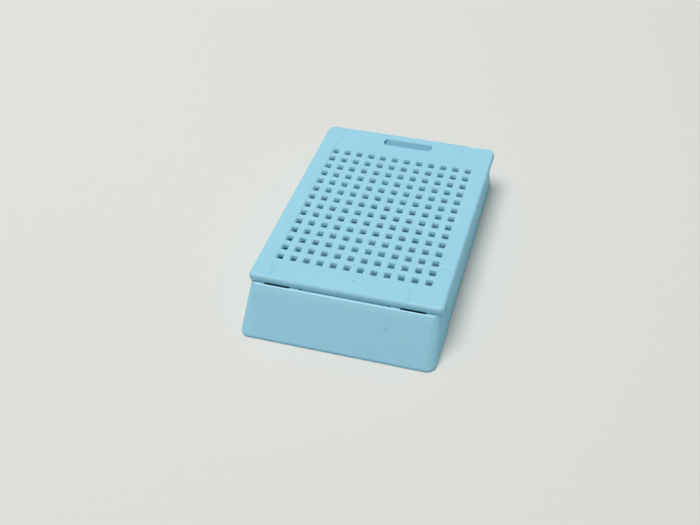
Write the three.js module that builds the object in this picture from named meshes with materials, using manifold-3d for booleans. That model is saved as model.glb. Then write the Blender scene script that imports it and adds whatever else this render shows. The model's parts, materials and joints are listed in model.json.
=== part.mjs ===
// Tissue cassette: an acetal tray with a perforated floor and a sloped writing panel, closed by a
// perforated lid that hooks behind the panel's top edge and snaps shut over the rear wall.
// Millimetres, +Z up. The origin is the centre of the underside, and the writing panel faces -Y.
import * as THREE from 'three';
import { mergeGeometries, mergeVertices } from 'three/addons/utils/BufferGeometryUtils.js';
import Module from 'manifold-3d';

// ---------------------------------------------------------------- driving dimensions

// Tray
const LENGTH = 41.0; // front foot of the tray to the lid's rear edge
const FOOT_RADIUS = 1.4; // plan radius of the foot's corners
const SEAT_WIDTH = 27.4; // across the side walls at their tops, at the rear
const FRONT_SPREAD = 0.5; // how far each side wall spreads from the rear to the front
const WALL_DRAFT = 0.05; // how far each side wall spreads from its top to the foot
const SEAT_HEIGHT = 5.6; // underside to the wall tops that carry the lid
const SIDE_WALL = 0.8; // side wall at its top, at the rear
const REAR_WALL = 1.1; // rear wall at its top
const FRONT_WALL = 1.0; // wall between the compartment and the hinge bay
const REAR_LEAN = 1.3; // how far the rear wall leans in from foot to top
const COMPARTMENT_RADIUS = 0.9; // plan radius inside the compartment
const FLOOR = 0.8; // thickness of the perforated floor
const FLOOR_RECESS = 0.2; // floor's underside above the foot

// Writing panel and the hinge bay behind its top edge
const PANEL_ANGLE = 45; // degrees from the horizontal
const PANEL_LAND = 0.35; // upright edge at the panel's foot
const PANEL_WALL = 1.0; // thickness of the panel
const CHEEK_LENGTH = 7.8; // cheeks beside the hollow under the panel
const CHEEK_OUTSET = 0.15; // cheek past the side wall's top at the rear
const CHEEK_DRAFT = 0.4; // how far each cheek spreads from its top to the foot
const CHEEK_WALL = 1.0; // cheek at its top
const SKIRT = 1.6; // height of the skirt along each cheek's foot, at its rear end
const SKIRT_FALL = 3.2; // length along which the skirt falls to nothing
const HINGE_BAY = 2.25; // panel's top edge to the front wall
const LEDGE = 0.9; // thickness of the ledge over the hollow
const RIM = 0.32; // what stays of the ledge in front of the windows
const CENTRE_BAY = 13.2; // width of the opening for the lid's tongue
const RIB = 1.45; // ribs on both sides of the centre bay
const WINDOW = 3.7; // width of the windows outside the ribs

// Lid
const LID_SIDE_OVERHANG = 0.45; // lid's side edge past the side wall's top, at the rear
const LID_RADIUS = 1.2; // plan radius of the lid's rear corners
const LID_FRONT_RADIUS = 0.7; // and of its front ones
const LID_OVERHANG = 1.5; // lid's rear edge past the top of the rear wall
const LID_EDGE = 1.05; // thickness of the border
const LID_PLATE = 0.75; // thickness of the perforated field
const EDGE_ROUND = 0.4; // rounding along the top edge
const BROW_LENGTH = 18.3; // middle of the front edge, rounded more
const BROW_ROUND = 0.5;
const SEAT_GAP = 0.05; // lid to wall tops
const LIP = 0.6; // thickness of the locating lip under the lid
const LIP_DROP = 0.6; // how far the lip hangs below the border
const LIP_CLEARANCE = 0.2; // lip to the compartment's walls

// Perforation, the same in the lid and the floor
const COLUMN_PITCH = 2.0;
const ROW_PITCH = 1.88;
const HOLE = 1.02; // side of a square hole at the plate's upper face
const HOLE_DRAFT = 8; // degrees by which each side of a hole leans in on its way down
const FRONT_MARGIN = 1.67; // compartment's front to the centres of the front row
const REAR_MARGIN = 3.0; // least distance of the rear row's centres from the compartment's rear
const SIDE_MARGIN = 1.5; // least distance of the outer columns' centres from its sides

// Hinge tongue under the lid's front edge
const TONGUE = 0.8; // thickness
const TONGUE_SIDE_CLEARANCE = 0.35;
const TONGUE_CLEARANCE = 0.08; // tongue to the rim
const HOOK_REACH = 0.17; // how far the hook passes under the panel
const HOOK_CLEARANCE = 0.15; // hook to the panel's inner face
const HOOK_HEIGHT = 0.25; // upright nose of the hook
const TIP_BEVEL = 0.4; // behind the tongue's tip, to pass the front wall as the lid opens
const AXIS_SETBACK = 0.15; // hinge axis behind the panel's top edge

// Snap at the lid's rear, and the oblong finger recess beside it
const RECESS_LENGTH = 8.1;
const RECESS_WIDTH = 1.6;
const RECESS_DEPTH = 0.8;
const RECESS_SLOPE = 50; // degrees by which its floor climbs to the recess's rear edge
const RECESS_MARGIN = 1.4; // lid's rear edge to the recess
const LATCH_LENGTH = 8.1;
const LATCH = 0.75; // thickness of the latch
const LATCH_SETBACK = 0.4; // lid's rear edge to the latch
const LATCH_DROP = 2.25; // border's underside to the latch's tip
const LATCH_NOSE = 0.65; // height of the latch's nose
const CATCH = 1.1; // height of the catch on the rear wall
const CATCH_UNDERCUT = 0.45; // depth of the recess under the catch
const CATCH_CLEARANCE = 0.05; // latch's nose to the catch
const NOTCH_CLEARANCE = 0.5; // latch to the notch's sides
const NOTCH_DEPTH = 0.9; // notch below the latch's tip

// ---------------------------------------------------------------- derived places

const CORNER_STEPS = 6; // facets in a quarter turn
const EDGE_STEPS = 4; // facets in the lid's rounded edge
const OVERCUT = 1; // how far a cutter passes the faces it cuts through
const OVERLAP = 0.4; // how far joined solids reach into each other
const panelAngle = THREE.MathUtils.degToRad(PANEL_ANGLE);
const panelSlope = Math.tan(panelAngle);
const holeSlope = Math.tan(THREE.MathUtils.degToRad(HOLE_DRAFT));

const footHalf = SEAT_WIDTH / 2 + WALL_DRAFT;
const cheekHalf = SEAT_WIDTH / 2 + CHEEK_OUTSET;
const footFront = -LENGTH / 2;
const lidRear = LENGTH / 2;
const seatRear = lidRear - LID_OVERHANG;
const footRear = seatRear + REAR_LEAN;
const panelRun = (SEAT_HEIGHT - PANEL_LAND) / panelSlope;
const panelTop = footFront + panelRun;
const bayRear = panelTop + HINGE_BAY;
const rimRear = panelTop + RIM;
const lidFront = rimRear + TONGUE_CLEARANCE;

const compartment = {
  halfWidth: SEAT_WIDTH / 2 - SIDE_WALL,
  front: bayRear + FRONT_WALL,
  rear: seatRear - REAR_WALL,
  bottom: FLOOR_RECESS + FLOOR,
};

const lidBottom = SEAT_HEIGHT + SEAT_GAP;
const lidTop = lidBottom + LID_EDGE;
const lidHalf = SEAT_WIDTH / 2 + LID_SIDE_OVERHANG;
const tongueHalf = CENTRE_BAY / 2 - TONGUE_SIDE_CLEARANCE;

// The panel's inner face: its height over a place along Y, and its place along Y at a height.
const panelWallAlongY = PANEL_WALL / Math.sin(panelAngle);
const panelInnerZ = (y) => PANEL_LAND + (y - footFront - panelWallAlongY) * panelSlope;
const panelInnerY = (z) => footFront + panelWallAlongY + (z - PANEL_LAND) / panelSlope;

// ---------------------------------------------------------------- solids

const wasm = await Module();
wasm.setup();

function solid(geometry) {
  geometry.deleteAttribute('normal');
  geometry.deleteAttribute('uv');
  const merged = mergeVertices(geometry);
  return new wasm.Manifold(
    new wasm.Mesh({
      numProp: 3,
      vertProperties: new Float32Array(merged.attributes.position.array),
      triVerts: new Uint32Array(merged.index.array),
    }),
  );
}

function toMesh(name, body, material) {
  const { vertProperties, triVerts } = body.getMesh();
  const geometry = new THREE.BufferGeometry();
  geometry.setAttribute('position', new THREE.BufferAttribute(new Float32Array(vertProperties), 3));
  geometry.setIndex(new THREE.BufferAttribute(new Uint32Array(triVerts), 1));
  geometry.computeVertexNormals();
  const mesh = new THREE.Mesh(geometry, material);
  mesh.name = name;
  return mesh;
}

function block([x0, x1], [y0, y1], [z0, z1]) {
  const geometry = new THREE.BoxGeometry(x1 - x0, y1 - y0, z1 - z0);
  return geometry.translate((x0 + x1) / 2, (y0 + y1) / 2, (z0 + z1) / 2);
}

// A plan outline, symmetric about X = 0, with round corners.
function outline(halfWidth, front, rear, radius, frontRadius = radius) {
  const shape = new THREE.Shape();
  const [low, high] = [front + frontRadius, rear - radius];
  shape.absarc(halfWidth - frontRadius, low, frontRadius, -Math.PI / 2, 0);
  shape.absarc(halfWidth - radius, high, radius, 0, Math.PI / 2);
  shape.absarc(radius - halfWidth, high, radius, Math.PI / 2, Math.PI);
  shape.absarc(frontRadius - halfWidth, low, frontRadius, Math.PI, 1.5 * Math.PI);
  return shape;
}

function prism(shape, z0, z1) {
  const options = { depth: z1 - z0, bevelEnabled: false, curveSegments: CORNER_STEPS };
  return new THREE.ExtrudeGeometry(shape, options).translate(0, 0, z0);
}

// A profile drawn in Y and Z, drawn out along X and centred on X = 0.
function bar(profile, width) {
  const options = { depth: width, bevelEnabled: false, curveSegments: CORNER_STEPS };
  const toYZ = new THREE.Matrix4().makeBasis(
    new THREE.Vector3(0, 1, 0),
    new THREE.Vector3(0, 0, 1),
    new THREE.Vector3(1, 0, 0),
  );
  return new THREE.ExtrudeGeometry(profile, options).applyMatrix4(toYZ).translate(-width / 2, 0, 0);
}

function polygon(points) {
  return new THREE.Shape(points.map(([y, z]) => new THREE.Vector2(y, z)));
}

// Draws in the upper end of a prism: its front, its rear and its sides, each by its own lean.
function leanIn(geometry, { front = 0, rear = 0, side = 0 }) {
  geometry.computeBoundingBox();
  const { min, max } = geometry.boundingBox;
  const middle = min.clone().add(max).multiplyScalar(0.5);
  const position = geometry.attributes.position;
  for (let i = 0; i < position.count; i++) {
    if (position.getZ(i) < middle.z) continue;
    const y = position.getY(i);
    position.setX(i, position.getX(i) - Math.sign(position.getX(i)) * side);
    position.setY(i, y < middle.y ? y + front : y - rear);
  }
  return geometry;
}

// Spreads the sides of the tray's walls evenly from their rear to their front.
function spreadFront(geometry) {
  const position = geometry.attributes.position;
  for (let i = 0; i < position.count; i++) {
    const spread = (FRONT_SPREAD * (footRear - position.getY(i))) / (footRear - footFront);
    position.setX(i, position.getX(i) + Math.sign(position.getX(i)) * spread);
  }
  return geometry;
}

// One square hole through a plate, narrowing on its way down.
function hole(plateBottom, plateTop) {
  const [low, high] = [plateBottom - OVERCUT, plateTop + OVERCUT];
  const halfAt = (z) => HOLE / 2 - (plateTop - z) * holeSlope;
  const half = halfAt(low);
  const spread = half - halfAt(high);
  const shaft = block([-half, half], [-half, half], [low, high]);
  return leanIn(shaft, { front: spread, rear: spread, side: spread });
}

// As many rows and columns of square holes as the compartment has room for.
function perforation(plateBottom, plateTop) {
  const { halfWidth, front, rear } = compartment;
  const gridFront = front + FRONT_MARGIN;
  const rows = 1 + Math.floor((rear - REAR_MARGIN - gridFront) / ROW_PITCH);
  const columns = 1 + Math.floor((2 * (halfWidth - SIDE_MARGIN)) / COLUMN_PITCH);
  const holes = [];
  for (let column = 0; column < columns; column++) {
    for (let row = 0; row < rows; row++) {
      const x = (column - (columns - 1) / 2) * COLUMN_PITCH;
      const y = gridFront + row * ROW_PITCH;
      holes.push(hole(plateBottom, plateTop).translate(x, y, 0));
    }
  }
  return mergeGeometries(holes);
}

const join = (parts) => parts.map(solid).reduce((whole, part) => whole.add(part));
const cut = (body, cutters) => cutters.map(solid).reduce((rest, tool) => rest.subtract(tool), body);

// ---------------------------------------------------------------- tray

// The hollow under the panel, between its inner face and the front wall, open below.
function bay(x0, x1) {
  const ceiling = SEAT_HEIGHT - LEDGE;
  const profile = polygon([
    [panelInnerY(-OVERCUT), -OVERCUT],
    [bayRear, -OVERCUT],
    [bayRear, ceiling],
    [panelInnerY(ceiling), ceiling],
  ]);
  return bar(profile, x1 - x0).translate((x0 + x1) / 2, 0, 0);
}

// An opening through the ledge, from the rim back to the front wall.
function window(x0, x1) {
  return block([x0, x1], [rimRear, bayRear], [panelInnerZ(rimRear) - OVERLAP, SEAT_HEIGHT + OVERCUT]);
}

// What the side walls leave open beside a cheek, above the skirt.
function besideCheek(side) {
  const rear = footFront + CHEEK_LENGTH;
  const profile = polygon([
    [footFront - OVERCUT, -OVERCUT],
    [rear - SKIRT_FALL, -OVERCUT],
    [rear - SKIRT_FALL, 0],
    [rear, SKIRT],
    [rear, SEAT_HEIGHT + OVERCUT],
    [footFront - OVERCUT, SEAT_HEIGHT + OVERCUT],
  ]);
  const depth = footHalf + FRONT_SPREAD - cheekHalf + OVERLAP + OVERCUT;
  return bar(profile, depth).translate(side * (cheekHalf - OVERLAP + depth / 2), 0, 0);
}

function makeTray() {
  const walls = outline(footHalf, footFront + PANEL_WALL, footRear, FOOT_RADIUS);
  const cheekRear = footFront + CHEEK_LENGTH + OVERLAP;
  const cheeks = outline(cheekHalf + CHEEK_DRAFT, footFront, cheekRear, OVERLAP, FOOT_RADIUS);
  const room = compartment;
  const roomOutline = outline(room.halfWidth, room.front, room.rear, COMPARTMENT_RADIUS);
  const cheekInside = cheekHalf - CHEEK_WALL;
  const ribOutside = CENTRE_BAY / 2 + RIB;
  const notch = [-LATCH_LENGTH / 2 - NOTCH_CLEARANCE, LATCH_LENGTH / 2 + NOTCH_CLEARANCE];
  const notchBottom = lidBottom - LATCH_DROP - NOTCH_DEPTH;
  const catchBottom = SEAT_HEIGHT - CATCH;

  const shell = leanIn(prism(walls, 0, SEAT_HEIGHT), {
    front: panelRun,
    rear: REAR_LEAN,
    side: WALL_DRAFT,
  });
  const panelBlock = join([
    prism(cheeks, 0, PANEL_LAND),
    leanIn(prism(cheeks, PANEL_LAND, SEAT_HEIGHT), { front: panelRun, side: CHEEK_DRAFT }),
  ]);
  const blank = cut(solid(spreadFront(shell)), [besideCheek(-1), besideCheek(1)]).add(panelBlock);
  return cut(blank, [
    prism(roomOutline, room.bottom, SEAT_HEIGHT + OVERCUT),
    prism(roomOutline, -OVERCUT, FLOOR_RECESS),
    perforation(FLOOR_RECESS, room.bottom),
    bay(-CENTRE_BAY / 2, CENTRE_BAY / 2),
    bay(ribOutside, cheekInside),
    bay(-cheekInside, -ribOutside),
    window(-CENTRE_BAY / 2, CENTRE_BAY / 2),
    window(ribOutside, ribOutside + WINDOW),
    window(-ribOutside - WINDOW, -ribOutside),
    // The notch for the latch, and the deeper recess that leaves the catch above it.
    block(notch, [seatRear, lidRear], [notchBottom, SEAT_HEIGHT + OVERCUT]),
    block(notch, [seatRear - CATCH_UNDERCUT, lidRear], [notchBottom, catchBottom]),
  ]);
}

// ---------------------------------------------------------------- lid

// The plate before it is cut. Its upper and lower edges are both rounded, and it starts one rounding
// lower than the lid's underside, so the cut along the underside takes the lower rounding off.
function lidBlank() {
  const shape = outline(
    lidHalf - EDGE_ROUND,
    lidFront + EDGE_ROUND,
    lidRear - EDGE_ROUND,
    LID_RADIUS - EDGE_ROUND,
    LID_FRONT_RADIUS - EDGE_ROUND,
  );
  const options = {
    depth: LID_EDGE,
    bevelThickness: EDGE_ROUND,
    bevelSize: EDGE_ROUND,
    bevelSegments: EDGE_STEPS,
    curveSegments: CORNER_STEPS,
  };
  return new THREE.ExtrudeGeometry(shape, options).translate(0, 0, lidBottom - EDGE_ROUND);
}

// The middle of the plate's front edge.
function brow() {
  const back = lidFront + BROW_ROUND;
  const profile = new THREE.Shape();
  profile.moveTo(back + OVERLAP, lidBottom);
  profile.lineTo(back + OVERLAP, lidTop);
  profile.absarc(back, lidTop - BROW_ROUND, BROW_ROUND, Math.PI / 2, Math.PI);
  profile.lineTo(lidFront, lidBottom);
  return bar(profile, BROW_LENGTH);
}

// The tongue drops from the brow into the centre bay, where its hook lies under the panel.
function tongue() {
  const back = lidFront + TONGUE;
  const noseFront = rimRear - HOOK_REACH;
  const noseTop = panelInnerZ(noseFront) - HOOK_CLEARANCE / Math.cos(panelAngle);
  const shoulder = noseTop + (lidFront - noseFront);
  const tip = noseTop - HOOK_HEIGHT;
  const profile = polygon([
    [back, tip + TIP_BEVEL],
    [back, lidBottom + OVERLAP],
    [lidFront, lidBottom + OVERLAP],
    [lidFront, shoulder],
    [noseFront, noseTop],
    [noseFront, tip],
    [back - TIP_BEVEL, tip],
  ]);
  return bar(profile, 2 * tongueHalf);
}

// The latch hangs behind the rear wall, and its nose points forward under the catch.
function latch() {
  const back = lidRear - LATCH_SETBACK;
  const front = back - LATCH;
  const nose = seatRear + CATCH_CLEARANCE;
  const tip = lidBottom - LATCH_DROP;
  const profile = polygon([
    [back, tip],
    [back, lidBottom + OVERLAP],
    [front, lidBottom + OVERLAP],
    [front, tip + LATCH_NOSE + (front - nose)],
    [nose, tip + LATCH_NOSE],
    [nose, tip + (front - nose)],
    [front, tip],
  ]);
  return bar(profile, LATCH_LENGTH);
}

// The finger recess drops upright at its front and climbs to its rear edge.
function recess() {
  const rear = lidRear - RECESS_MARGIN;
  const front = rear - RECESS_WIDTH;
  const bottom = lidTop - RECESS_DEPTH;
  const run = RECESS_DEPTH / Math.tan(THREE.MathUtils.degToRad(RECESS_SLOPE));
  const oblong = outline(RECESS_LENGTH / 2, front, rear, RECESS_WIDTH / 2);
  const underSlope = polygon([
    [rear - run, bottom],
    [rear, lidTop],
    [rear + OVERCUT, lidTop],
    [rear + OVERCUT, bottom - OVERCUT],
    [rear - run, bottom - OVERCUT],
  ]);
  return cut(solid(prism(oblong, bottom, lidTop + OVERCUT)), [bar(underSlope, 2 * RECESS_LENGTH)]);
}

function makeLid() {
  const room = compartment;
  const lipOutside = outline(
    room.halfWidth - LIP_CLEARANCE,
    room.front + LIP_CLEARANCE,
    room.rear - LIP_CLEARANCE,
    COMPARTMENT_RADIUS,
  );
  const inset = LIP_CLEARANCE + LIP;
  const pocket = outline(
    room.halfWidth - inset,
    room.front + inset,
    room.rear - inset,
    COMPARTMENT_RADIUS,
  );
  const belowLid = block([-SEAT_WIDTH, SEAT_WIDTH], [-LENGTH, LENGTH], [lidBottom - OVERCUT, lidBottom]);

  const browRoom = block(
    [-BROW_LENGTH / 2, BROW_LENGTH / 2],
    [lidFront - OVERCUT, lidFront + BROW_ROUND],
    [lidBottom - OVERCUT, lidTop + OVERCUT],
  );

  const plate = cut(solid(lidBlank()), [belowLid, browRoom]);
  const lip = prism(lipOutside, lidBottom - LIP_DROP, lidBottom + OVERLAP);
  const blank = [brow(), tongue(), latch(), lip]
    .map(solid)
    .reduce((whole, part) => whole.add(part), plate);
  return cut(blank, [
    prism(pocket, lidBottom - LIP_DROP - OVERCUT, lidTop - LID_PLATE),
    perforation(lidTop - LID_PLATE, lidTop),
  ]).subtract(recess());
}

// ---------------------------------------------------------------- assembly

const acetal = new THREE.MeshStandardMaterial({ color: 0xa0d5e7, roughness: 0.5, metalness: 0 });

const cassette = new THREE.Group();
cassette.add(toMesh('tray', makeTray(), acetal));

// The lid swings about the line just behind the panel's top edge.
const hinge = new THREE.Group();
hinge.position.set(0, panelTop + AXIS_SETBACK, lidBottom);
const lid = toMesh('lid', makeLid(), acetal);
lid.position.copy(hinge.position).negate();
hinge.add(lid);
cassette.add(hinge);

export default cassette;
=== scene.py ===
# A tissue cassette: two acetal mouldings, a perforated tray with a sloped writing panel and a
# perforated lid that hooks behind the panel's top edge and snaps shut over the rear wall.
import bpy
import bmesh
import json
import math
from mathutils import Matrix, Vector

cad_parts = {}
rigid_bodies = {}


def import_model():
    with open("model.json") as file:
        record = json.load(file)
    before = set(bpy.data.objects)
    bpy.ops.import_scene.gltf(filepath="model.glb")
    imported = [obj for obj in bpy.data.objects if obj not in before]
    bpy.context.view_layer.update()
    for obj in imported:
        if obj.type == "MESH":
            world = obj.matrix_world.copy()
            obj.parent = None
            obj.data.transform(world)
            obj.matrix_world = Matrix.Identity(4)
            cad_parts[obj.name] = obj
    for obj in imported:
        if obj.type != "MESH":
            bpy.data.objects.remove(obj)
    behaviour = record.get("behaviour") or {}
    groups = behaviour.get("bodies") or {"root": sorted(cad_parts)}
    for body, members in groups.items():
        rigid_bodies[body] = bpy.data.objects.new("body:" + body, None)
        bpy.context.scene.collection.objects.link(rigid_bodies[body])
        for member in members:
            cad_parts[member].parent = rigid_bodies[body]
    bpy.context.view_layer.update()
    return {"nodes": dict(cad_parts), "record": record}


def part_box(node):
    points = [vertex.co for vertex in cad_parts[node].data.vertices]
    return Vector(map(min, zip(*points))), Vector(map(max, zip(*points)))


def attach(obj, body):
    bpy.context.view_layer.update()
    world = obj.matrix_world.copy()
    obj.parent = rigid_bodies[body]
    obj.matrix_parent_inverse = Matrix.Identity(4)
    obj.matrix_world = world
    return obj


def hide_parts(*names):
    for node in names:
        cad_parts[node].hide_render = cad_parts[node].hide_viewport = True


for leftover in list(bpy.data.objects):
    bpy.data.objects.remove(leftover)

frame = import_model()
MM = 0.001

# ---------------------------------------------------------------- tray
# One acetal moulding, filled from below and pushed out by ejector pins. Its faces have the fine
# satin grain of the cavity, its edges are barely rounded, and the writing panel is grained more
# deeply, so that pencil and ink hold on it.

tray_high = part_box("tray")[1] / MM
writing_panel = next(m for m in frame["record"]["mounts"] if m["name"] == "writing_panel")
panel_axis = Vector(writing_panel["axis"])
panel_point = Vector(writing_panel["pos_m"]) / MM
panel_top = panel_point.y + tray_high.z - panel_point.z

TRAY_EDGE = 0.12  # rounding of a plain edge
PANEL_TOP_EDGE = 0.05  # the panel's top edge, left crisp by the mould's parting line
FOOT_RADIUS = 1.4  # plan radius of the corners at the panel's ends
CREST = 0.2  # breadth of the painted highlight along the panel's top edge
RIM = 0.32  # from the panel's top edge to the openings behind it
WINDOWS_INSIDE = 8.0
WINDOW_SINK = 0.12  # the rim's shrinkage in front of the two windows
CHEEK_SIDE = 14.05
CHEEK_REAR = (-12.75, -12.3)  # the crease where the cheeks beside the panel end
TRAY_HOLE_EDGE = 0.07
WIDEST_EDGE = 0.3  # more than any rounding used
SHARP = math.radians(30)  # edges that bend more are rounded
FLAT = math.radians(0.3)  # faces that bend less are one face
ALIGNED = 0.999  # cosine between lines that count as parallel
TOUCHING = 0.003  # points closer than this are one point
SOFT = 0.04  # breadth over which a mark fades out
HAIR = 0.03  # half the breadth of a hairline
compartment = frame["record"]["physics"]["openings"][0]
room_low, room_high = (Vector(corner) / MM for corner in compartment["box_m"])


def in_field(point):
    """Whether a point lies over or under the perforated field."""
    return all(room_low[a] < point[a] < room_high[a] for a in (0, 1))


def slice_faces(mesh, faces, place, side):
    """Cuts some of a mesh's faces along the plane through a place that faces a side."""
    edges = {edge for face in faces for edge in face.edges}
    verts = {vertex for face in faces for vertex in face.verts}
    geometry = [*verts, *edges, *faces]
    bmesh.ops.bisect_plane(mesh, geom=geometry, dist=TOUCHING, plane_co=place, plane_no=side)


def solid_copy(node):
    """The node's solid as an editable mesh in millimetres, its flat faces cut into rectangles along
    the sides of its holes: the whole solid along the upper rims, the plate's underside along the
    lower ones."""
    mesh = bmesh.new()
    mesh.from_mesh(frame["nodes"][node].data)
    bmesh.ops.scale(mesh, vec=(1 / MM, 1 / MM, 1 / MM), verts=mesh.verts)
    bmesh.ops.remove_doubles(mesh, verts=mesh.verts, dist=TOUCHING)
    bmesh.ops.dissolve_limit(mesh, angle_limit=FLAT, verts=mesh.verts, edges=mesh.edges)

    rims = [vertex.co.copy() for vertex in mesh.verts if in_field(vertex.co)]
    plate_top = max(rim.z for rim in rims)
    for rim_height in (plate_top, min(rim.z for rim in rims)):
        for axis in (0, 1):
            side = Vector((0, 0, 0))
            side[axis] = 1
            at_height = [rim for rim in rims if abs(rim.z - rim_height) < TOUCHING]
            for place in sorted({round(rim[axis], 3) for rim in at_height}):
                faces = mesh.faces[:]
                if rim_height < plate_top:
                    heights = {f: f.calc_center_median().z for f in faces}
                    faces = [f for f in faces if abs(heights[f] - rim_height) < TOUCHING]
                slice_faces(mesh, faces, side * place, side)

    def is_diagonal(edge):
        along = edge.verts[1].co - edge.verts[0].co
        across = edge.link_faces[0].normal
        return not any(abs(along[a]) < TOUCHING and abs(across[a]) < ALIGNED for a in (0, 1))

    diagonals = [e for e in mesh.edges if e.calc_face_angle(math.pi) < FLAT and is_diagonal(e)]
    bmesh.ops.dissolve_edges(mesh, edges=diagonals, use_verts=True)
    return mesh


def rounded_piece(name, mesh, radius_at, material):
    """A piece whose sharp edges are rounded, each by the radius at its middle. 0 leaves it crisp."""
    weight = mesh.edges.layers.float.new("bevel_weight_edge")
    for edge in mesh.edges:
        if edge.calc_face_angle(0) > SHARP:
            start, end = (vertex.co for vertex in edge.verts)
            radius = radius_at((start + end) / 2, end - start)
            edge[weight] = radius / WIDEST_EDGE
            edge.smooth = radius > 0
    for face in mesh.faces:
        face.smooth = True
    bmesh.ops.scale(mesh, vec=(MM, MM, MM), verts=mesh.verts)
    data = bpy.data.meshes.new(name)
    mesh.to_mesh(data)
    mesh.free()
    data.materials.append(material)
    piece = bpy.data.objects.new(name, data)
    bpy.context.scene.collection.objects.link(piece)
    rounding = piece.modifiers.new("edge_rounding", "BEVEL")
    rounding.limit_method = "WEIGHT"
    rounding.width = WIDEST_EDGE * MM
    rounding.segments = 3
    rounding.loop_slide = False
    rounding.use_clamp_overlap = False
    shading = piece.modifiers.new("flat_faces", "WEIGHTED_NORMAL")
    shading.keep_sharp = True
    return piece


class Socket:
    """The output of a shader node. Arithmetic on it adds Math nodes."""

    def __init__(self, tree, output=None):
        self.tree = tree
        self.output = output

    def node(self, kind, settings, sockets, output=0):
        """Adds any node: first its settings, then the values or links of its sockets."""
        made = self.tree.nodes.new(kind)
        for name, setting in settings.items():
            setattr(made, name, setting)
        for name, value in sockets.items():
            if isinstance(value, Socket):
                self.tree.links.new(value.output, made.inputs[name])
            else:
                made.inputs[name].default_value = value
        return Socket(self.tree, made.outputs[output] if made.outputs else None)

    def math(self, operation, *values):
        settings = {"operation": operation}
        return self.node("ShaderNodeMath", settings, dict(enumerate(values)))

    def __add__(self, other):
        return self.math("ADD", self, other)

    def __sub__(self, other):
        return self.math("SUBTRACT", self, other)

    def __rsub__(self, other):
        return self.math("SUBTRACT", other, self)

    def __mul__(self, other):
        return self.math("MULTIPLY", self, other)

    __radd__ = __add__

    def ramp(self, low, high):
        """0 below low and 1 above high, smooth between them; it falls where low is over high."""
        ends = {"Value": self, "From Min": low, "From Max": high}
        return self.node("ShaderNodeMapRange", {"interpolation_type": "SMOOTHSTEP"}, ends)

    def tint(self, color, strength):
        """This colour, mixed with another one by a strength."""
        sockets = {"Factor": strength, 6: self, 7: color}  # 6, 7 and output 2 are the colour ones
        return self.node("ShaderNodeMix", {"data_type": "RGBA"}, sockets, 2)


def noise(place, scale, detail):
    """Fractal noise about 0.5, its scale in features per millimetre."""
    sockets = {"Vector": place, "Scale": scale, "Detail": detail}
    return place.node("ShaderNodeTexNoise", {}, sockets)


def component(vector, axis):
    """One coordinate of a place or a direction."""
    return vector.node("ShaderNodeSeparateXYZ", {}, {0: vector}, axis)


def span(place, axis, start, end):
    """1 between two places along an axis, in millimetres, and soft past them."""
    along = component(place, axis)
    return along.ramp(start - SOFT, start) * along.ramp(end + SOFT, end)


def line(place, axis, beside, start, end):
    """1 on a hair-thin line that runs along one level axis and lies at a place on the other."""
    return span(place, 1 - axis, beside - HAIR, beside + HAIR) * span(place, axis, start, end)


def over_field(place):
    """1 over and under the perforated field."""
    return span(place, 0, room_low.x, room_high.x) * span(place, 1, room_low.y, room_high.y)


def speck(place, point, size):
    """1 at a point and 0 from a distance of size."""
    settings = {"operation": "DISTANCE"}
    away = place.node("ShaderNodeVectorMath", settings, {0: place, 1: point}, "Value")
    return away.ramp(size, size / 3)


def srgb(red, green, blue):
    """A colour as it is given, from 0 to 255, in the shader's linear values."""
    linear = [((value / 255 + 0.055) / 1.055) ** 2.4 for value in (red, green, blue)]
    return (*linear, 1)


ACETAL = srgb(155, 210, 229)
ACETAL_DEEP = srgb(128, 189, 213)
# the paler shade, mostly used for painted highlights and painted light
ACETAL_PALE = srgb(196, 234, 246)
# painted light on upright faces; also the colour of the painted glow
ACETAL_PAINTED_LIGHT = srgb(142, 216, 240)
# dirt of the scuff and the dust, and painted shade in the lid's recess
GRIME_AND_SHADE = srgb(88, 124, 140)
BLACK = (0, 0, 0, 1)
FLOW = (0.12, 3)  # the slow drift in shade: features per millimetre, and detail
CLOUD = (2.2, 3)
GRAIN = (7, 2)
SHEEN = (0.5, 4)
FLOW_RANGE = (0.3, 0.8)  # from the palest to the deepest shade
CLOUD_RANGE = (0.35, 0.75)
SHADE_DRIFT = 0.12
CLOUD_HEIGHT = 0.012
GRAIN_HEIGHT = 0.006
GLOSS = 0.42
GLOSS_DRIFT = 0.1
PAINTED_GLOW = 0.04  # painted glow, standing in for light that comes through the thin plates
SIDE_WAY = (0.5, 0.2)  # cosine to the vertical where a face starts, and ends, to be a side
PANEL_WAY = (0.97, 0.995)  # cosine to the panel's axis, from off it to on it
PANEL_GRAIN = (11, 3)
PANEL_GRAIN_HEIGHT = 0.012
PANEL_TEXTURE = (3, 2)
PANEL_TEXTURE_HEIGHT = 0.016
PANEL_DULLNESS = 0.12
PANEL_FADE = 0.2  # the panel is a little paler towards its top
FADE_DEPTH = 1.0
CREST_HIGHLIGHT = 0.6
SCUFF_TINT = 0.4
SCUFF = (  # where its marks lie, and how far they reach
    (Vector((6.76, -17.19, 3.66)), 0.17),
    (Vector((6.66, -17.38, 3.47)), 0.14),
    (Vector((6.6, -17.54, 3.31)), 0.17),
    (Vector((6.38, -17.3, 3.55)), 0.16),
)


def flat_color(tree, color):
    made = Socket(tree).node("ShaderNodeRGB", {}, {})
    made.output.default_value = color
    return made


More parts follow.
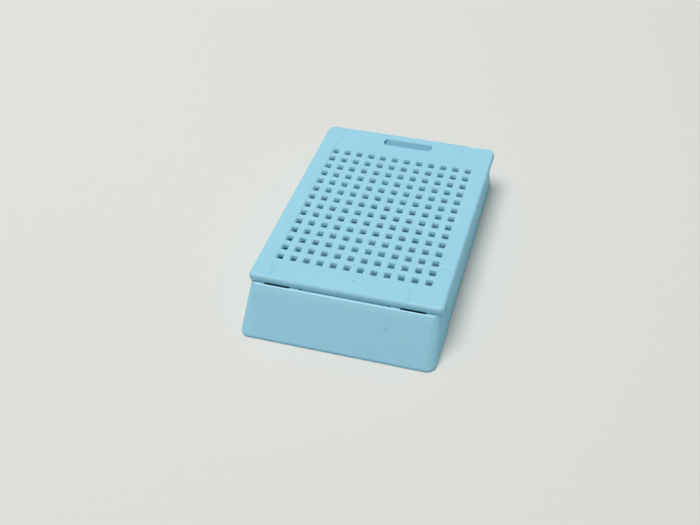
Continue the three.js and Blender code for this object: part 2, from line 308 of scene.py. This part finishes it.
def acetal(name, marks):
    """Pale blue acetal, its upright faces tinted as painted light. marks adds the moulding's own
    marks, painted light and painted shade to its colour, height and gloss, and says where a painted
    glow stands in for light soaking through."""
    material = bpy.data.materials.new(name)
    material.use_nodes = True
    tree = material.node_tree
    tree.nodes.clear()
    place = Socket(tree).node("ShaderNodeTexCoord", {}, {}, "Object")
    place = place.node("ShaderNodeVectorMath", {"operation": "SCALE"}, {0: place, "Scale": 1 / MM})
    facing = Socket(tree).node("ShaderNodeTexCoord", {}, {}, "Normal")

    cloud = noise(place, *CLOUD)
    drift = noise(place, *FLOW).ramp(*FLOW_RANGE) + cloud.ramp(*CLOUD_RANGE)
    color = flat_color(tree, ACETAL).tint(ACETAL_DEEP, drift * SHADE_DRIFT)
    # painted light: faces near upright take a more saturated blue, as light falls on the sides
    steep = component(facing, 2)
    color = color.tint(ACETAL_PAINTED_LIGHT, steep.math("ABSOLUTE", steep).ramp(*SIDE_WAY))
    height = noise(place, *GRAIN) * GRAIN_HEIGHT + cloud * CLOUD_HEIGHT
    gloss = GLOSS + noise(place, *SHEEN) * GLOSS_DRIFT
    color, height, gloss, glow = marks(place, facing, color, height, gloss)

    bump = {"Strength": 1, "Distance": MM, "Height": height}
    normal = place.node("ShaderNodeBump", {}, bump)
    surface = place.node(
        "ShaderNodeBsdfPrincipled",
        {"subsurface_method": "RANDOM_WALK"},
        {
            "Base Color": color,
            "Roughness": gloss,
            "Normal": normal,
            "IOR": 1.48,
            "Specular IOR Level": 0.2,
            # a painted glow: emission stands in for light that soaks through
            "Emission Color": flat_color(tree, BLACK).tint(ACETAL_PAINTED_LIGHT, glow),
            "Emission Strength": 1,
            "Subsurface Weight": 0.2,
            "Subsurface Radius": (0.5, 0.8, 1),
            "Subsurface Scale": 0.4 * MM,
        },
    )
    place.node("ShaderNodeOutputMaterial", {}, {"Surface": surface})
    return material


def tray_marks(place, facing, color, height, gloss):
    """The panel's deeper grain, a small scuff on it, a painted highlight along its top edge and a
    painted glow.
    """
    slope = facing.node(
        "ShaderNodeVectorMath", {"operation": "DOT_PRODUCT"}, {0: facing, 1: panel_axis}, "Value"
    )
    on_panel = slope.ramp(*PANEL_WAY)
    grain = noise(place, *PANEL_GRAIN) * PANEL_GRAIN_HEIGHT
    texture = noise(place, *PANEL_TEXTURE) * PANEL_TEXTURE_HEIGHT
    height = height + on_panel * (grain + texture)
    gloss = gloss + on_panel * PANEL_DULLNESS
    depth = tray_high.z - component(place, 2)
    # a painted highlight along the panel's top edge; the panel is also a little paler towards its
    # top
    crest = depth.ramp(CREST, CREST / 2) * span(place, 1, panel_top - SOFT, panel_top + CREST / 2)
    pale = crest * CREST_HIGHLIGHT + on_panel * depth.ramp(FADE_DEPTH, 0) * PANEL_FADE
    color = color.tint(ACETAL_PALE, pale)
    for point, size in SCUFF:
        color = color.tint(GRIME_AND_SHADE, speck(place, point, size) * SCUFF_TINT)
    # a painted glow inside the compartment over the perforated field
    glow = over_field(place) * span(place, 2, room_low.z - SOFT, tray_high.z) * PAINTED_GLOW
    return color, height, gloss, glow


def tray_radius(middle, along):
    if in_field(middle):
        return TRAY_HOLE_EDGE
    at_cheek_rear = abs(middle.x) > CHEEK_SIDE and CHEEK_REAR[0] < middle.y < CHEEK_REAR[1]
    if at_cheek_rear:
        return 0
    if middle.z < tray_high.z - TOUCHING:
        return TRAY_EDGE
    round_corner = min(1, (middle.y - panel_top) / FOOT_RADIUS)
    return PANEL_TOP_EDGE + (TRAY_EDGE - PANEL_TOP_EDGE) * round_corner


tray_solid = solid_copy("tray")
for vertex in tray_solid.verts:
    at_window = abs(vertex.co.y - panel_top - RIM) < TOUCHING and abs(vertex.co.x) > WINDOWS_INSIDE
    if at_window and vertex.co.z > tray_high.z - TOUCHING:
        vertex.co.y -= WINDOW_SINK
tray = rounded_piece("tray_moulding", tray_solid, tray_radius, acetal("tray_acetal", tray_marks))
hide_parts("tray")
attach(tray, "tray")

# ---------------------------------------------------------------- lid
# The other acetal moulding, of the same shade. The insert that forms its square holes leaves a
# fine witness line around the perforated field, and the one at the latch a step in the rear edge.
# The lid is held by its hooked tongue and its latch.

lid_low, lid_high = (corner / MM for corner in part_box("lid"))
LID_FRONT = -14.85  # the plate's front edge; the hook below it reaches further
LID_EDGE = 0.1
LID_HOLE_EDGE = 0.08
LID_HOLE_CORNER = 0.14
LEVEL_EDGE = 0.1  # an edge that rises more than this is a hole's corner
RECESS_LENGTH = 8.2
RECESS_FRONT = 17.4
RECESS_REAR = 19.2
BROW_LENGTH = 18.3  # middle of the front edge, rounded more than its ends
EDGE_ROUND = 0.4  # the solid's own rounding along the top edge
CORNER = 0.5  # the flash and its painted highlight end this far short of the sides
FRONT_BORDER = 2.0  # the brow's ends lie within this of the front
FIELD_SEAM = -11.56  # left side of the perforated field
RIGHT_SEAM = 9.06
LATCH_SEAM = -11.05
FRONT_SEAM = -12.5
REAR_SEAM = 17.1
SIDE_RIBS = (5.93, 0.76, -6.76)
FAINT = 0.4  # strengths of the lines
CLEAR = 0.9
SEAM_TINT = 0.7
SEAM_DEPTH = 0.02
# the flash's pale colour is a painted highlight; its height is a real hair of flash
FLASH_HIGHLIGHT = 0.6
FLASH_HEIGHT = 0.012
FORWARD = (-0.4, -0.9)  # from barely to fully facing the front
FRONT_PAINTED_LIGHT = 0.2
HOLE_SIDE_WAY = (0.5, 0.3)  # as SIDE_WAY, for the sides of the holes
HOLE_SIDE_PAINTED_LIGHT = 0.8
RECESS_SHADE = 0.3  # depth at which the recess has its full painted shade
# strengths of the recess's painted shade
RECESS_SHADE_TINT = 0.45
RECESS_SHADE_DARKENING = 0.1
SPECK = 0.2  # reach of the nick and the dust
NICK_TINT = 0.7
DUST_TINT = 0.5
NICK = Vector((0, LID_FRONT, 5.85))  # in the lip over the tongue
DUST = Vector((0.7, -12.4, lid_high.z))
REAR_STEP = 0.2  # beside the right seam the rear edge is set in by this
STEP_RUN = 0.9
STEP_END = 13.0  # and meets its own line again here


def lid_marks(place, facing, color, height, gloss):
    """Witness lines of the inserts and a hair of flash along the front edge with a painted
    highlight.
    Faces towards the front and the sides of the holes are painted paler, the hole sides also with a
    painted glow, as if light soaked through the bars, and the recess gets painted shade."""
    front, rear = LID_FRONT + EDGE_ROUND, lid_high.y
    seams = (
        line(place, 1, FIELD_SEAM, FRONT_SEAM, REAR_SEAM)
        + line(place, 1, LATCH_SEAM, REAR_SEAM, rear)
        + line(place, 1, LATCH_SEAM, front, FRONT_SEAM)
        + line(place, 1, RIGHT_SEAM, REAR_SEAM, rear)
        + line(place, 1, RIGHT_SEAM, front, FRONT_SEAM)
        + line(place, 0, REAR_SEAM, FIELD_SEAM, RIGHT_SEAM) * FAINT
        + line(place, 0, FRONT_SEAM, FIELD_SEAM, RIGHT_SEAM) * FAINT
    )
    # the hair of flash stands a little proud by bump, and its pale colour is a painted highlight
    flash = span(place, 1, front - HAIR, front + HAIR) * (
        span(place, 0, lid_low.x + CORNER, -BROW_LENGTH / 2)
        + span(place, 0, BROW_LENGTH / 2, lid_high.x - CORNER)
    )
    for rib in SIDE_RIBS:
        flash = flash + line(place, 0, rib, room_high.x, lid_high.x - CORNER) * CLEAR
        flash = flash + line(place, 0, rib, lid_low.x + CORNER, room_low.x) * FAINT
    color = color.tint(ACETAL_DEEP, seams * SEAM_TINT).tint(ACETAL_PALE, flash * FLASH_HIGHLIGHT)
    height = height - seams * SEAM_DEPTH + flash * FLASH_HEIGHT
    # painted light: faces towards the front are tinted paler
    forward = component(facing, 1).ramp(*FORWARD)
    color = color.tint(ACETAL_PALE, forward * FRONT_PAINTED_LIGHT)

    # painted light: the sides of the holes are tinted paler and given a painted glow
    steep = component(facing, 2)
    hole_sides = steep.math("ABSOLUTE", steep).ramp(*HOLE_SIDE_WAY) * over_field(place)
    color = color.tint(ACETAL_PALE, hole_sides * HOLE_SIDE_PAINTED_LIGHT)
    glow = hole_sides * PAINTED_GLOW

    # painted shade in the finger recess, fuller where it is deeper
    recess = span(place, 0, -RECESS_LENGTH / 2, RECESS_LENGTH / 2)
    recess = recess * span(place, 1, RECESS_FRONT, RECESS_REAR)
    sunk = recess * component(place, 2).ramp(lid_high.z, lid_high.z - RECESS_SHADE)
    color = color.tint(ACETAL_DEEP, sunk * RECESS_SHADE_TINT).tint(GRIME_AND_SHADE, sunk * RECESS_SHADE_DARKENING)
    color = color.tint(ACETAL_PALE, speck(place, NICK, SPECK) * NICK_TINT)
    color = color.tint(GRIME_AND_SHADE, speck(place, DUST, SPECK) * DUST_TINT)
    return color, height, gloss, glow


def lid_radius(middle, along):
    in_recess = abs(middle.x) < RECESS_LENGTH / 2 and RECESS_FRONT < middle.y < RECESS_REAR
    if in_recess:
        return 0
    if in_field(middle):
        return LID_HOLE_CORNER if abs(along.z) > LEVEL_EDGE else LID_HOLE_EDGE
    at_brow_end = abs(abs(middle.x) - BROW_LENGTH / 2) < TOUCHING
    if at_brow_end and middle.y < lid_low.y + FRONT_BORDER:
        return 0
    return LID_EDGE


lid_solid = solid_copy("lid")
for cut in (RIGHT_SEAM, RIGHT_SEAM + STEP_RUN):
    behind_seam = [f for f in lid_solid.faces if all(v.co.y > REAR_SEAM for v in f.verts)]
    slice_faces(lid_solid, behind_seam, (cut, 0, 0), (1, 0, 0))
for vertex in lid_solid.verts:
    if vertex.co.y > lid_high.y - EDGE_ROUND - TOUCHING:
        into_step = (vertex.co.x - RIGHT_SEAM) / STEP_RUN
        out_of_step = (STEP_END - vertex.co.x) / (STEP_END - RIGHT_SEAM - STEP_RUN)
        vertex.co.y -= max(0, min(into_step, out_of_step, 1)) * REAR_STEP
lid = rounded_piece("lid_moulding", lid_solid, lid_radius, acetal("lid_acetal", lid_marks))
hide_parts("lid")
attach(lid, "lid")

# ---------------------------------------------------------------- floor, light and camera
# A plain pale floor, a broad soft lamp overhead and a little to the back left, and even fill from
# all around. The floor glows faintly where the lamp no longer reaches, so it stays pale to its end.

FLOOR_SIZE = 3
FLOOR_COLOR = srgb(219, 220, 215)
BACKDROP = srgb(224, 225, 221)
LIT_FLOOR = 0.05  # the lamp's light starts to fall off here
FAR_FLOOR = 1.0
FLOOR_GLOW = 0.74  # of the backdrop, where the lamp gives next to nothing
FILL = 0.25

bpy.ops.mesh.primitive_plane_add(size=FLOOR_SIZE)
floor = bpy.context.object
floor.name = "floor"
floor_material = bpy.data.materials.new("pale_floor")
floor_material.use_nodes = True
floor_shader = floor_material.node_tree.nodes["Principled BSDF"]
floor_shader.inputs["Base Color"].default_value = FLOOR_COLOR
floor_shader.inputs["Roughness"].default_value = 0.9
floor_shader.inputs["Specular IOR Level"].default_value = 0.1
floor_place = Socket(floor_material.node_tree).node("ShaderNodeTexCoord", {}, {}, "Object")
length = {"operation": "LENGTH"}
distance = floor_place.node("ShaderNodeVectorMath", length, {0: floor_place}, "Value")
floor_glow = flat_color(floor_material.node_tree, BLACK)
floor_glow = floor_glow.tint(BACKDROP, distance.ramp(LIT_FLOOR, FAR_FLOOR) * FLOOR_GLOW)
floor_material.node_tree.links.new(floor_glow.output, floor_shader.inputs["Emission Color"])
floor_shader.inputs["Emission Strength"].default_value = 1
floor.data.materials.append(floor_material)

scene = bpy.context.scene
scene.view_settings.view_transform = "Standard"

scene.world = bpy.data.worlds.new("studio")
scene.world.use_nodes = True
scene.world.node_tree.nodes.clear()
sky = Socket(scene.world.node_tree)
direct = sky.node("ShaderNodeLightPath", {}, {}, "Is Camera Ray")
fill = sky.node("ShaderNodeBackground", {}, {"Color": (1, 1, 1, 1), "Strength": FILL})
backdrop = sky.node("ShaderNodeBackground", {}, {"Color": BACKDROP, "Strength": 1})
shown = sky.node("ShaderNodeMixShader", {}, {0: direct, 1: fill, 2: backdrop})
sky.node("ShaderNodeOutputWorld", {}, {"Surface": shown})

LAMP_SIZE = 0.45
LAMP_PLACE = Vector((-0.1, 0.03, 0.6))
LAMP_POWER = 3.3
lamp = bpy.data.objects.new("overhead_lamp", bpy.data.lights.new("overhead_lamp", "AREA"))
lamp.data.shape = "DISK"
lamp.data.size = LAMP_SIZE
lamp.data.energy = LAMP_POWER
lamp.location = LAMP_PLACE
lamp.rotation_euler = (-LAMP_PLACE).to_track_quat("-Z", "Y").to_euler()
scene.collection.objects.link(lamp)

LOOK_AT = Vector((10.74, -3.14, 3.35)) * MM
DISTANCE = 121.58 * MM
AZIMUTH = math.radians(14.43)
ELEVATION = math.radians(46.47)
ROLL = math.radians(-0.56)
camera = bpy.data.objects.new("camera", bpy.data.cameras.new("camera"))
camera.data.lens = 42.46
camera.data.shift_x = -0.1286
camera.data.clip_start = 0.01
turned = Matrix.Rotation(AZIMUTH, 4, "Z") @ Matrix.Rotation(math.pi / 2 - ELEVATION, 4, "X")
turned = turned @ Matrix.Rotation(ROLL, 4, "Z")
camera.matrix_world = Matrix.Translation(LOOK_AT) @ turned @ Matrix.Translation((0, 0, DISTANCE))
scene.collection.objects.link(camera)
scene.camera = camera

# ---------------------------------------------------------------- update the scene

bpy.context.view_layer.update()
